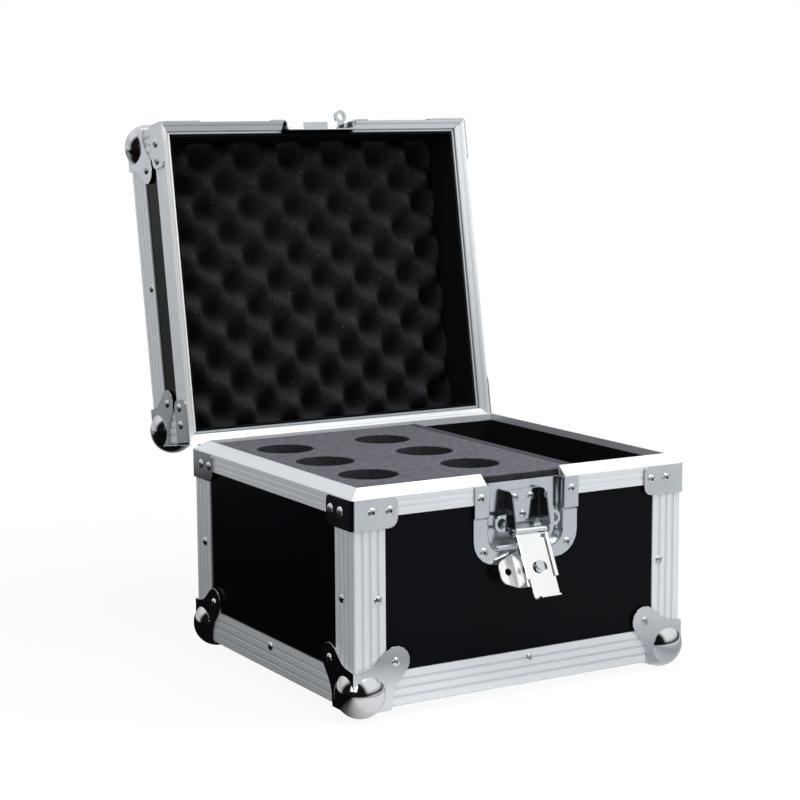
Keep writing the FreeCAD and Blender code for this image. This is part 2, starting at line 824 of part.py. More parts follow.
def padlock_staple():
    """Flat eye that stands out of the lid's dish, with a foot on the dish floor."""
    middle = Vector(latch_shift + staple_offset, -half_d, seam_z + staple_height)
    half = staple_neck / 2
    centre = -staple_reach
    flat = Plane(middle, X, Y)
    spot = flat.at(0, centre)
    eye = flat_rod(spot, spot + Z * staple_sheet, X, staple_radius)
    neck = [(-half, centre), (half, centre), (half, recess_depth), (-half, recess_depth)]
    arm = prism(flat, neck, Z * staple_sheet)
    foot = [(-half, 0), (half, 0), (half, staple_foot), (-half, staple_foot)]
    plate = prism(Plane(middle + Y * (recess_depth - keeper_sheet), X, Z), foot, Y * keeper_sheet)
    hole = Part.Face(ring(flat, 0, centre, staple_hole_radius)).extrude(Z * staple_sheet)
    return joined([eye, arm, plate]).cut(hole)


def hinge_base_leaf(x):
    """Leaf on the base's rim with two end knuckles and two stop ears."""
    half = hinge_width / 2
    inner = hinge_lid_knuckle / 2 + fit_gap
    axis = Vector(x, hinge_y, hinge_z)
    side = axis - Y * leaf_face
    wide = [(-half, -hinge_leaf_height), (half, -hinge_leaf_height), (half, 0), (inner, 0)]
    wide += [(inner, -hinge_leaf_clear), (-inner, -hinge_leaf_clear), (-inner, 0), (-half, 0)]
    shapes = [prism(Plane(side, X, Z), wide, Y * hinge_leaf)]
    front = hinge_leaf - leaf_face
    turn = math.radians(lid_open_angle)
    crown = (-front * math.sin(turn) ** 2 - front * math.cos(turn) ** 2) / math.sin(turn)
    fall = -math.cos(turn) / math.sin(turn)
    tops = [(along, crown - fall * along - fit_gap) for along in (stop_ear_start, stop_ear_reach)]
    ear = [(front, -hinge_leaf_height), (front, 0), tops[0], tops[1]]
    ear += [(stop_ear_reach, tops[1][1] - stop_ear_depth)]
    for end in (-1, 1):
        shapes.append(flat_rod(axis + X * (end * inner), axis + X * (end * half), Y, hinge_barrel_radius))
        outer = axis + X * (end * half)
        shapes.append(prism(Plane(outer, Y, Z), ear, X * (-end * stop_ear)))
    bore = rod(axis - X * hinge_width, axis + X * hinge_width, hinge_pin_radius + pin_play)
    return joined(shapes).cut(bore)


def hinge_lid_leaf(x):
    """Leaf on the lid's rim with one middle knuckle."""
    half = hinge_width / 2
    inner = hinge_lid_knuckle / 2
    axis = Vector(x, hinge_y, hinge_z)
    top = 2 * hinge_axis_drop + hinge_leaf_height
    wide = [(-inner, 0), (inner, 0), (inner, hinge_leaf_clear), (half, hinge_leaf_clear)]
    wide += [(half, top), (-half, top), (-half, hinge_leaf_clear), (-inner, hinge_leaf_clear)]
    shapes = [prism(Plane(axis - Y * leaf_face, X, Z), wide, Y * hinge_leaf)]
    shapes.append(flat_rod(axis - X * inner, axis + X * inner, Y, hinge_barrel_radius))
    bore = rod(axis - X * hinge_width, axis + X * hinge_width, hinge_pin_radius + pin_play)
    return joined(shapes).cut(bore)


def hinge_pin(x):
    """Pin through the knuckles of one hinge."""
    axis = Vector(x, hinge_y, hinge_z)
    reach = hinge_width / 2 + hinge_pin_end
    return rod(axis - X * reach, axis + X * reach, hinge_pin_radius)


def microphone_foam():
    """Foam block with round holes."""
    top = seam_z + foam_rise
    shape = block(Vector(foam_left, -foam_half_depth, foam_floor), Vector(foam_right, foam_half_depth, top))
    holes = []
    for column in hole_column_shares:
        for row in hole_row_shares:
            x = foam_left + column * (foam_right - foam_left)
            y = foam_half_depth * (2 * row - 1)
            spot = Vector(x, y, top - hole_depth)
            holes.append(Part.makeCylinder(hole_diameter / 2, hole_depth + overrun, spot))
    return shape.cut(Part.makeCompound(holes))


def compartment_divider():
    """Upright board between the foam and the accessory compartment."""
    low = Vector(divider_left, -foam_half_depth, foam_floor)
    return block(low, Vector(divider_right, foam_half_depth, seam_z + foam_rise))


def compartment_lining():
    """Open tray that lines the accessory compartment."""
    low = Vector(divider_right + fit_gap, -foam_half_depth, foam_floor)
    high = Vector(-foam_left, foam_half_depth, seam_z + lining_rise)
    inset = Vector(lining_thickness, lining_thickness, lining_thickness)
    room = block(low + inset, high - Vector(lining_thickness, lining_thickness, -overrun))
    return block(low, high).cut(room)


def lid_lining():
    """Four-sided lining of the lid's walls."""
    out_w = half_w - wall - fit_gap
    out_d = half_d - wall - fit_gap
    thick = Vector(lining_thickness, lining_thickness, 0)
    low = Vector(-out_w, -out_d, seam_z + lid_lining_start)
    high = Vector(out_w, out_d, lid_roof)
    return block(low, high).cut(block(low + thick - Z * overrun, high - thick + Z * overrun))


def stations(half, phase):
    """Positions of the bump rows, with the two cut edges."""
    step = pad_pitch / 2
    count = int(2 * half / step) + 2
    spots = [phase + step * i for i in range(-count, count + 1)]
    inside = [spot for spot in spots if abs(spot) < half - step / 10]
    return [-half] + inside + [half]


def lid_pad():
    """Profiled foam pad under the lid's top: bumps in a chequer pattern."""
    half_x = half_w - wall - 2 * fit_gap - lining_thickness
    half_y = half_d - wall - 2 * fit_gap - lining_thickness
    columns = stations(half_x, pad_phase)
    rows = stations(half_y, 0)
    turns = 2 * math.pi / pad_pitch

    def surface(x, y):
        swell = 0.5 + 0.5 * math.cos(turns * (x - pad_phase)) * math.cos(turns * y)
        return Vector(x, y, lid_roof - pad_back - pad_bump * swell)

    faces = []
    for i in range(len(columns) - 1):
        for j in range(len(rows) - 1):
            square = [surface(columns[i], rows[j]), surface(columns[i + 1], rows[j])]
            square += [surface(columns[i + 1], rows[j + 1]), surface(columns[i], rows[j + 1])]
            peak = surface((columns[i] + columns[i + 1]) / 2, (rows[j] + rows[j + 1]) / 2)
            for k in range(len(square)):
                faces.append(patch([square[k], square[(k + 1) % len(square)], peak]))
    back = Vector(half_x, half_y, lid_roof)
    for y in (-half_y, half_y):
        edge = [surface(x, y) for x in columns]
        faces.append(patch(edge + [Vector(half_x, y, lid_roof), Vector(-half_x, y, lid_roof)]))
    for x in (-half_x, half_x):
        edge = [surface(x, y) for y in rows]
        faces.append(patch(edge + [Vector(x, half_y, lid_roof), Vector(x, -half_y, lid_roof)]))
    faces.append(patch([back, Vector(-half_x, half_y, lid_roof), back * -1 + Z * (2 * lid_roof),
                        Vector(half_x, -half_y, lid_roof)]))
    return closed_solid(faces)


def handle_frame():
    """Handle axis and the lid surface under it, drawn with the lid closed."""
    ground = lid_top_z - leg_wall
    return Vector(0, handle_axis_shift, ground + handle_axis_height), ground


def handle_brackets():
    """Two riveted feet with an upright ear each."""
    axis, ground = handle_frame()
    shapes = []
    for side in (-1, 1):
        middle = Vector(side * handle_ear_offset, handle_axis_shift, ground)
        w = handle_foot_width / 2
        d = handle_foot_length / 2
        bend = handle_foot_corner
        foot = [(-w, -d, bend), (w, -d, bend), (w, d, bend), (-w, d, bend)]
        plate = prism(Plane(middle, X, Y), chorded(foot), Z * handle_foot_sheet)
        top = handle_axis_height + handle_ear_radius
        ear = [(-handle_ear_radius, 0), (handle_ear_radius, 0), (handle_ear_radius, top, handle_ear_radius)]
        ear += [(-handle_ear_radius, top, handle_ear_radius)]
        near = middle - X * (handle_ear_width / 2)
        bore = [(0, handle_axis_height, bail_radius + bail_play)]
        upright = prism(Plane(near, Y, Z), chorded(ear), X * handle_ear_width, holes=bore)
        shapes.append(joined([plate, upright]))
    return shapes


def handle_at_rest(shape):
    """The handle hangs straight down while the lid stands open."""
    axis, ground = handle_frame()
    swung = shape.copy()
    swung.rotate(axis, X, lid_open_angle - 90)
    return lid_swing(swung)


def handle_bail():
    """Bent rod whose two round ends turn in the ears."""
    axis, ground = handle_frame()
    inset = bail_half_width - bail_bend
    far = bail_reach - bail_bend
    rings = []
    count = flats(bail_bend, math.pi / 2)
    for k, (side, height) in enumerate(((-1, bail_bend), (-1, far), (1, far), (1, bail_bend))):
        pivot = axis + X * (side * inset) + Y * height
        for j in range(count + 1):
            turn = math.pi / 2 * (3 - k - j / count)
            out = X * math.cos(turn) + Y * math.sin(turn)
            rings.append(spaced(pivot + out * bail_bend, out, Z, bail_radius, bail_sides))
    shapes = [faceted(rings)]
    for side in (-1, 1):
        tip = axis + X * (side * (ear_inside - bail_end))
        shapes.append(rod(tip, axis + X * (side * inset), bail_radius))
    return joined(shapes)


def handle_grip():
    """Sleeve on the bail's cross bar, with eased ends."""
    axis, ground = handle_frame()
    middle = axis + Y * bail_reach
    half = grip_length / 2
    edge = half - grip_round
    slim = grip_radius - grip_round
    rings = []
    for along, radius in ((-half, slim), (-edge, grip_radius), (edge, grip_radius), (half, slim)):
        rings.append(spaced(middle + X * along, Y, Z, radius, grip_sides))
    bore = rod(middle - X * grip_length, middle + X * grip_length, bail_radius + grip_play)
    return faceted(rings).cut(bore)


def pieces():
    """Every node of the case with its solids."""
    nodes = {}
    base_walls = wall_panels(rail_z + wall, seam_z - rim_cap)
    lid_walls = wall_panels(seam_z + lid_slot_height, lid_top_z - wall)
    base_cut = dish_opening(-Z, base_dish_length, base_recess_corner)
    lid_cut = dish_opening(Z, lid_dish_length, lid_recess_corner)
    base_walls["front"] = base_walls["front"].cut(base_cut)
    lid_walls["front"] = lid_walls["front"].cut(lid_cut)
    for name in base_walls:
        nodes["base_" + name + "_panel"] = [base_walls[name]]
        nodes["lid_" + name + "_panel"] = [lid_swing(lid_walls[name])]
    nodes["base_bottom_panel"] = [flat_panel(rail_z + leg_wall)]
    nodes["lid_top_panel"] = [lid_swing(flat_panel(lid_top_z - slot))]
    nodes["base_corner_posts"] = posts(rail_z + leg_length, seam_z - base_rim_leg)
    nodes["base_bottom_rails"] = rails(rail_z, Z)
    nodes["lid_corner_posts"] = [lid_swing(s) for s in posts(seam_z + lid_rim_leg, lid_top_z - leg_length)]
    nodes["lid_top_rails"] = [lid_swing(s) for s in rails(lid_top_z, -Z)]
    for label, names in (("front", ["front"]), ("sides", ["left", "right"]), ("back", ["back"])):
        male = [s for name in names for s in rim(base_rim_profile(), name)]
        female = [s for name in names for s in rim(lid_rim_profile(), name)]
        nodes["base_rim_" + label] = male
        nodes["lid_rim_" + label] = [lid_swing(s) for s in female]
    ball = ball_corner()
    low_ball = ball.copy()
    low_ball.translate(Z * rail_z)
    high_ball = ball.mirror(Vector(0, 0, 0), Z)
    high_ball.translate(Z * lid_top_z)
    for name, shape in corner_copies(low_ball).items():
        nodes["base_ball_corner_" + name] = [shape]
    for name, shape in corner_copies(high_ball).items():
        nodes["lid_ball_corner_" + name] = [lid_swing(shape)]
    low_brace = brace_corner(seam_z - brace_height, seam_z, True)
    high_brace = brace_corner(seam_z + seam_gap, seam_z + seam_gap + brace_height, False)
    nodes["base_brace_corners"] = list(corner_copies(low_brace).values())
    nodes["lid_brace_corners"] = [lid_swing(s) for s in corner_copies(high_brace).values()]
    low_dish = latch_dish(-Z, base_dish_length, base_recess_corner, base_dish_corner, base_joggle)
    high_dish = latch_dish(Z, lid_dish_length, lid_recess_corner, lid_dish_corner, lid_joggle)
    nodes["latch_dish_lower"] = [low_dish]
    nodes["latch_dish_upper"] = [lid_swing(high_dish)]
    nodes["latch_bracket"] = [latch_bracket()]
    nodes["latch_pin"] = [latch_pin()]
    nodes["latch_cover"] = [latch_cover()]
    nodes["latch_hook"] = [latch_hook()]
    nodes["latch_spindle"] = [latch_spindle()]
    nodes["latch_butterfly"] = [latch_butterfly()]
    nodes["latch_keeper"] = [lid_swing(latch_keeper())]
    nodes["padlock_staple"] = [lid_swing(padlock_staple())]
    ends = (-hinge_offset, hinge_offset)
    nodes["hinge_base_leaves"] = [hinge_base_leaf(x) for x in ends]
    nodes["hinge_lid_leaves"] = [lid_swing(hinge_lid_leaf(x)) for x in ends]
    nodes["hinge_pins"] = [hinge_pin(x) for x in ends]
    nodes["microphone_foam"] = [microphone_foam()]
    nodes["compartment_divider"] = [compartment_divider()]
    nodes["compartment_lining"] = [compartment_lining()]
    nodes["lid_lining"] = [lid_swing(lid_lining())]
    nodes["lid_foam_pad"] = [lid_swing(lid_pad())]
    nodes["handle_brackets"] = [lid_swing(s) for s in handle_brackets()]
    nodes["handle_bail"] = [handle_at_rest(handle_bail())]
    nodes["handle_grip"] = [handle_at_rest(handle_grip())]
    return nodes


os.makedirs("parts", exist_ok=True)
for node, shapes in pieces().items():
    solids = [solid for shape in shapes for solid in shape.Solids]
    whole = solids[0] if len(solids) == 1 else Part.makeCompound(solids)
    print(node, len(solids), "valid" if whole.isValid() else "INVALID", round(whole.Volume))
    whole.exportStep("parts/" + node + ".step")
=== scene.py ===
import json
import math
import bmesh
import bpy
from mathutils import Matrix, Vector


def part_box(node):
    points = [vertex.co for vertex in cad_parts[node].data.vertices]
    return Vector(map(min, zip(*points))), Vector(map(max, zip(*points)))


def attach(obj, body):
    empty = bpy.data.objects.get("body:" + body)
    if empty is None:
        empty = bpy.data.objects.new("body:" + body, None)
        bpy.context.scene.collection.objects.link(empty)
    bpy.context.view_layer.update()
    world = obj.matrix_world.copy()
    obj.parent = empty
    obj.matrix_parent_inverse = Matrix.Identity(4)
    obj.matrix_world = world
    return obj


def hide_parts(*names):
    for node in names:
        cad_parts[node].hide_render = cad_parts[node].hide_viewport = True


# Flight case with an open lid, in the row frame: metres, front along -Y, floor at Z = 0
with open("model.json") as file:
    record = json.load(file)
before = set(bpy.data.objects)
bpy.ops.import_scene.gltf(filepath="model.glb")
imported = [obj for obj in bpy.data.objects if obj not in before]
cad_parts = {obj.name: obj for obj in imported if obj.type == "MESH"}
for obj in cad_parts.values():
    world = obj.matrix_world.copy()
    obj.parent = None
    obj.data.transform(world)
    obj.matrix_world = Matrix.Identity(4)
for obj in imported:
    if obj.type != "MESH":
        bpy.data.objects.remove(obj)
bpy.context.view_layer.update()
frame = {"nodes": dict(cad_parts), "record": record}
scene = bpy.context.scene
mm = 0.001
behaviour = frame["record"]["behaviour"]
slot_of = {part["node"]: part["material_slot"] for part in frame["record"]["subparts"]}
body_of = {node: body for body, nodes in behaviour["bodies"].items() for node in nodes}
joints = {joint["name"]: joint for joint in behaviour["joints"]}

# Sizes of the case, from the frame, that the dressed pieces are set out from
rails_low, rails_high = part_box("base_bottom_rails")
half_w = rails_high[0]
half_d = rails_high[1]
rail_z = rails_low[2]
seam_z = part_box("base_brace_corners")[1][2]
lid_height = 81.0 * mm
lid_top_z = seam_z + lid_height
latch_x = joints["latch_arm_hinge"]["pos_m"][0]
# Signs of X and Y at the four upright corners
corners = [(side, end) for side in (-1, 1) for end in (-1, 1)]

# The lid's pieces are set out closed, then swung open on its hinge
hinge_spot = Vector(joints["lid_hinge"]["pos_m"])
lid_open = math.radians(joints["lid_hinge"]["range_deg"][1])
lid_turn = Matrix.Rotation(-lid_open, 4, "X")
lid_swing = Matrix.Translation(hinge_spot) @ lid_turn @ Matrix.Translation(-hinge_spot)


def linear(code):
    """Linear RGBA of an sRGB hex colour."""
    parts = [int(code[i:i + 2], 16) / 255 for i in (1, 3, 5)]
    return tuple(c / 12.92 if c <= 0.04045 else ((c + 0.055) / 1.055) ** 2.4 for c in parts) + (1.0,)


def add(tree, kind, inputs=None, **settings):
    """A node with its settings; each input is a value or a socket to link."""
    node = tree.nodes.new(kind)
    for name, value in settings.items():
        setattr(node, name, value)
    for name, value in (inputs or {}).items():
        if isinstance(value, bpy.types.NodeSocket):
            tree.links.new(value, node.inputs[name])
        else:
            node.inputs[name].default_value = value
    return node


def arithmetic(tree, operation, first, second=0.0):
    """Result of one arithmetic step in a node tree."""
    return add(tree, "ShaderNodeMath", {0: first, 1: second}, operation=operation).outputs[0]


def new_material(name, colour, rough, **sockets):
    """Material with a principled shader; colour and rough are plain values."""
    made = bpy.data.materials.new(name)
    made.use_nodes = True
    tree = made.node_tree
    shader = tree.nodes["Principled BSDF"]
    shader.inputs["Base Color"].default_value = linear(colour)
    shader.inputs["Roughness"].default_value = rough
    for socket, value in sockets.items():
        shader.inputs[socket.replace("_", " ")].default_value = value
    place = add(tree, "ShaderNodeTexCoord").outputs["Object"]
    return made, tree, shader, place


def noise(tree, place, grain, detail, **inputs):
    """Noise with a grain of a real size in metres."""
    sockets = {"Vector": place, "Scale": 1 / grain, "Detail": detail, **inputs}
    return add(tree, "ShaderNodeTexNoise", sockets).outputs["Fac"]


def cells(tree, place, size):
    """Distance to the nearest of scattered points, which lie about a real size in metres apart."""
    sockets = {"Vector": place, "Scale": 1 / size, "Randomness": 1.0}
    return add(tree, "ShaderNodeTexVoronoi", sockets).outputs["Distance"]


def marked(tree, name):
    """Value that the mesh carries under a name."""
    return add(tree, "ShaderNodeAttribute", attribute_name=name).outputs["Fac"]


def along(tree, place, direction):
    """How far a place lies along a direction."""
    node = add(tree, "ShaderNodeVectorMath", {0: place, 1: direction}, operation="DOT_PRODUCT")
    return node.outputs["Value"]


def share_of(tree, value, start, end):
    """How far a value has come from start to end, as a share of 0 to 1."""
    node = add(tree, "ShaderNodeMapRange", {"Value": value, "From Min": start, "From Max": end})
    return node.outputs["Result"]


def ramp(tree, factor, stops):
    """Colour ramp with (position, hex colour) stops."""
    node = add(tree, "ShaderNodeValToRGB", {"Fac": factor})
    band = node.color_ramp.elements
    while len(band) < len(stops):
        band.new(0.5)
    for stop, (spot, code) in zip(band, stops):
        stop.position = spot
        stop.color = linear(code)
    return node.outputs["Color"]


# A mix node has its own sockets for each kind of data, and these are the ones for colours
first_colour = 6
second_colour = 7
mixed_colour = 2


def blend(tree, factor, first, second, mode="MIX"):
    """Colour that goes from the first to the second with the factor."""
    sockets = {"Factor": factor, first_colour: first, second_colour: second}
    return add(tree, "ShaderNodeMix", sockets, data_type="RGBA", blend_type=mode).outputs[mixed_colour]


def drift_gloss(tree, shader, pattern, low, high):
    """Roughness that drifts with a pattern between two values."""
    spread = add(tree, "ShaderNodeMapRange", {"Value": pattern, "To Min": low, "To Max": high})
    tree.links.new(spread.outputs["Result"], shader.inputs["Roughness"])


def bump(tree, shader, height, depth, strength):
    """Relief of a real depth in metres."""
    node = add(tree, "ShaderNodeBump", {"Height": height, "Distance": depth, "Strength": strength})
    tree.links.new(node.outputs["Normal"], shader.inputs["Normal"])


def black_laminate():
    # Melamine laminate on plywood, pressed against a fine plate: deep black with a soft sheen
    made, tree, shader, place = new_material(
        "black_laminate_plywood", "#040509", 0.2, Specular_IOR_Level=0.08)
    drift_gloss(tree, shader, noise(tree, place, 45 * mm, 3.0), 0.16, 0.24)
    bump(tree, shader, noise(tree, place, 1.6 * mm, 2.0), 0.03 * mm, 0.35)
    return made


# Lines ruled along the extrusions as painted shade in their grooves and on the lid's ribs: stops by the
# share of the ruled width, in from the outside of the case
ruled_width = 14.0 * mm
silver = "#e4e8ec"
# The white paints a highlight and the duller silver a dimming on the lid's rims; the shades below are
# painted shade for grooves, steps and rib lines
bright = "#ffffff"
dull = "#d0d4d7"
groove_shade = "#ced3d8"
step_shade = "#70787c"
painted_dim_rib_shade = "#b2b7bb"
# Painted shade at the bottom of the grooves, and painted shade lines with a dark painted step on the lid's
# ribs
groove = ((0.008, silver), (0.014, groove_shade), (0.026, groove_shade), (0.034, silver))
ribs = ((0.12, silver), (0.18, "#acb2b6"), (0.24, silver),
        (0.48, silver), (0.52, "#b7bdc1"), (0.56, silver),
        (0.64, silver), (0.68, step_shade), (0.74, step_shade), (0.78, silver))
# Painted highlight for the rims at the left; painted dimming with painted shade lines for the rims at the
# right and the back
painted_highlight_ribs = ((0.03, silver), (0.05, bright), (0.48, bright), (0.52, "#d4d8db"), (0.56, bright))
painted_dim_ribs = ((0.03, silver), (0.06, dull), (0.16, dull), (0.2, painted_dim_rib_shade), (0.26, dull),
             (0.44, dull), (0.5, painted_dim_rib_shade), (0.56, dull),
             (0.64, dull), (0.69, painted_dim_rib_shade), (0.75, painted_dim_rib_shade), (0.8, silver))


def anodised_aluminium(name, lines):
    """Satin anodised extrusion: pale silver with a fine grain, ruled along its length with lines of painted
    shade, and on the lid's rims painted highlight and dimming.
    """
    made, tree, shader, place = new_material(name, silver, 0.34, Metallic=0.5)
    grain = noise(tree, place, 0.7 * mm, 3.0)
    drift_gloss(tree, shader, grain, 0.28, 0.4)
    # Painted shade lines by how far in each point lies, with painted highlight and dimming on the lid's
    # rims
    ruled = ramp(tree, share_of(tree, marked(tree, "inset"), 0.0, ruled_width), lines)
    tree.links.new(ruled, shader.inputs["Base Color"])
    bump(tree, shader, grain, 0.02 * mm, 0.25)
    return made


def plated_metal(name, pale, dark, low, high, wave, mirror=1.0):
    """Pressed and plated metal: colour and gloss drift a little over the pressing."""
    made, tree, shader, place = new_material(name, pale, low, Metallic=mirror)
    drift = noise(tree, place, 22 * mm, 2.0)
    tone = ramp(tree, drift, ((0.3, dark), (0.65, pale)))
    tree.links.new(tone, shader.inputs["Base Color"])
    drift_gloss(tree, shader, drift, low, high)
    bump(tree, shader, drift, wave, 0.3)
    return made


def open_cell_foam(name, pale, dark, cell, speck, shading):
    """Cut open-cell foam: small pores, soft mottling, pale dust specks, and darker where shading says."""
    made, tree, shader, place = new_material(name, pale, 0.95, Specular_IOR_Level=0.2)
    pores = cells(tree, place, cell)
    mottle = noise(tree, place, 7 * mm, 5.0)
    relief = add(tree, "ShaderNodeMix", {"Factor": 0.5, "A": pores, "B": mottle}).outputs["Result"]
    tone = ramp(tree, relief, ((0.3, dark), (0.6, pale)))
    specks = ramp(tree, cells(tree, place, 9.5 * mm), ((0.03, "#ffffff"), (0.05, "#000000")))
    dusty = blend(tree, specks, tone, linear(speck))
    shaded = blend(tree, 1.0, dusty, shading(tree), "MULTIPLY")
    tree.links.new(shaded, shader.inputs["Base Color"])
    bump(tree, shader, relief, 0.8 * mm, 0.8)
    return made


def upright_shade(tree):
    """Darker on upright cuts than on the foam's top."""
    facing = add(tree, "ShaderNodeNewGeometry").outputs["True Normal"]
    level = add(tree, "ShaderNodeSeparateXYZ", {0: facing}).outputs["Z"]
    return ramp(tree, level, ((0.2, "#8a8a8a"), (0.8, "#ffffff")))


def hollow_shade(tree):
    """Darker in the hollows between foam bumps."""
    return ramp(tree, marked(tree, "swell"), ((0.1, "#a4a4a4"), (0.75, "#ffffff")))


def felt(name, pale, dark):
    """Short-haired needled felt: matt, with a mottle of fine hairs."""
    made, tree, shader, place = new_material(name, pale, 0.95, Specular_IOR_Level=0.15)
    hairs = noise(tree, place, 1.2 * mm, 6.0, Roughness=0.7)
    tone = ramp(tree, hairs, ((0.35, dark), (0.7, pale)))
    tree.links.new(tone, shader.inputs["Base Color"])
    bump(tree, shader, hairs, 0.4 * mm, 0.5)
    return made


def grip_rubber():
    # Moulded rubber, matt with a fine grain
    made, tree, shader, place = new_material("moulded_rubber", "#17171a", 0.6)
    bump(tree, shader, noise(tree, place, 0.8 * mm, 2.0), 0.1 * mm, 0.4)
    return made


finishes = {
    "black_laminate": black_laminate(),
    # Anodised aluminium is pale and satin, with faint lines of painted shade in the grooves along the
    # extrusion
    "aluminium_extrusion": anodised_aluminium("anodised_aluminium", groove),
    # Chromed pressings mirror the room, with a slight ripple from the press
    "chromed_steel": plated_metal("chromed_steel", "#d9dbde", "#d2d4d8", 0.07, 0.12, 0.01 * mm),
    # Zinc plate is a satin grey
    "zinc_steel": plated_metal("zinc_plated_steel", "#d6dade", "#ccd0d5", 0.13, 0.19, 0.006 * mm),
    # Nickel plate is bright with a soft mirror
    "nickel_steel": plated_metal("nickel_plated_steel", "#d3d8db", "#cbd0d3", 0.09, 0.13, 0.003 * mm),
    # Foam is dull and porous; its upright cuts and its hollows look darker
    "grey_foam": open_cell_foam(
        "grey_open_cell_foam", "#66676e", "#414249", 1.3 * mm, "#d0d0d4", upright_shade),
    "black_foam": open_cell_foam(
        "black_profiled_foam", "#28272b", "#151418", 1.6 * mm, "#a8a8ac", hollow_shade),
    # Felt lies matt and dark on the boards
    "charcoal_board": felt("charcoal_felt", "#4e4e54", "#3a3a40"),
    "black_lining": felt("black_felt", "#0e0e10", "#070708"),
    "black_rubber": grip_rubber(),
}
# Blind rivets are soft aluminium, tumbled pale and satin; solid rivets are burnished by the setting tool
tumbled = plated_metal("tumbled_aluminium", "#eef0f1", "#e4e7e8", 0.3, 0.38, 0.01 * mm)
burnished = plated_metal("burnished_aluminium", "#dbdedf", "#ced1d3", 0.18, 0.26, 0.01 * mm)
# The bore in the middle of a rivet's head looks like a dark dot
bore_shade = new_material("rivet_bore_shade", "#1b1b1c", 0.6)[0]
# The lid's closing profile has ribs on its mating face, drawn as painted shade lines: a painted highlight
# makes it bright at the left, painted dimming makes it darker at the right and the back
rim_metal = anodised_aluminium("ribbed_aluminium", ribs)
painted_highlight_rim = anodised_aluminium("ribbed_aluminium_painted_highlight", painted_highlight_ribs)
painted_dim_rim = anodised_aluminium("ribbed_aluminium_painted_dim", painted_dim_ribs)
# The latch's arm and hook are polished almost white; its butterfly is satin
polished = plated_metal("polished_nickel_steel", "#f8fafa", "#f2f4f4", 0.08, 0.12, 0.003 * mm)
satin = plated_metal("satin_nickel_steel", "#f6f8f8", "#eef0f0", 0.22, 0.28, 0.003 * mm, 0.8)
# Nodes with a metal of their own, or on the lid's rims a painted highlight and dimming; a pair goes to the
# left and the right piece
own_metal_and_painted_shine = {
    "latch_cover": [polished],
    "latch_hook": [polished],
    "latch_butterfly": [satin],
    "lid_rim_front": [rim_metal],
    "lid_rim_sides": [painted_highlight_rim, painted_dim_rim],
    "lid_rim_back": [painted_dim_rim],
}
for node, piece in frame["nodes"].items():
    piece.data.materials.clear()
    piece.data.materials.append(finishes[slot_of[node]])


def put(name, data):
    """An object of the data in the scene."""
    piece = bpy.data.objects.new(name, data)
    scene.collection.objects.link(piece)
    return piece


def baked(holder):
    """Plain mesh of an object as its modifiers leave it; the object itself goes."""
    done = bpy.data.meshes.new_from_object(holder.evaluated_get(bpy.context.evaluated_depsgraph_get()))
    bpy.data.objects.remove(holder)
    return done


def place_piece(name, mesh, body, slot, nodes=()):
    """A finished mesh as an object on its body."""
    piece = put(name, mesh)
    if not mesh.materials:
        mesh.materials.append(finishes[slot])
    if nodes:
        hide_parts(*nodes)
    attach(piece, body)
    return piece


def smooth(mesh, angle):
    """Smooth shading with sharp edges kept."""
    for face in mesh.polygons:
        face.use_smooth = True
    mesh.set_sharp_from_angle(angle=math.radians(angle))


def eased(node, edge, drop=None):
    """The node's own shape with its facets merged, its edges eased and unwanted faces dropped."""
    weld = 0.002 * mm
    flat_angle = math.radians(0.3)
    edge_angle = math.radians(40)
    mesh = frame["nodes"][node].data.copy()
    mesh.materials.clear()
    work = bmesh.new()
    work.from_mesh(mesh)
    bmesh.ops.remove_doubles(work, verts=work.verts, dist=weld)
    if drop:
        bmesh.ops.delete(work, geom=[face for face in work.faces if drop(face)], context="FACES")
    bmesh.ops.dissolve_limit(work, angle_limit=flat_angle, verts=work.verts, edges=work.edges)
    for face in work.faces:
        face.smooth = True
    work.to_mesh(mesh)
    work.free()
    holder = put(node + "_eased", mesh)
    ease = holder.modifiers.new("eased_edges", "BEVEL")
    ease.width = edge
    ease.segments = 2
    ease.limit_method = "ANGLE"
    ease.angle_limit = edge_angle
    ease.miter_outer = "MITER_ARC"
    level = holder.modifiers.new("level_faces", "WEIGHTED_NORMAL")
    level.mode = "FACE_AREA"
    level.weight = 80
    level.thresh = 1.0 * mm * mm
    return baked(holder)


def mark_inset(mesh, on_lid):
    """Store on an extrusion how far each point lies in from the outside of the closed case, for the painted
    shade lines.
    """
    inset = mesh.attributes.new("inset", "FLOAT", "POINT")
    closing = lid_swing.inverted() if on_lid else Matrix.Identity(4)
    for vert, mark in zip(mesh.vertices, inset.data):
        spot = closing @ vert.co
        from_sides = min(half_w - abs(spot.x), half_d - abs(spot.y))
        mark.value = min(from_sides, spot.z - rail_z, lid_top_z - spot.z)


def refined(node, edge):
    """The node's own shape with its edges eased, in its own metal where it has one, or on the lid's rims a
    painted highlight and dimming.
    """
    done = eased(node, edge)
    for metal in own_metal_and_painted_shine.get(node, ()):
        done.materials.append(metal)
    if len(done.materials) > 1:
        for face in done.polygons:
            face.material_index = int(face.center.x > 0)
    if slot_of[node] == "aluminium_extrusion":
        mark_inset(done, body_of[node] == "lid")
    place_piece(node + "_eased", done, body_of[node], slot_of[node], [node])


# How far the edges are eased, by the slot or, for boards, by the node
sheet_easing = 0.25 * mm
slot_easing = {
    "aluminium_extrusion": 0.12 * mm,
    "chromed_steel": sheet_easing,
    "zinc_steel": sheet_easing,
    "nickel_steel": sheet_easing,
    "black_rubber": sheet_easing,
}
board_easing = {"compartment_lining": 0.6 * mm, "lid_lining": 0.5 * mm, "compartment_divider": 0.8 * mm}


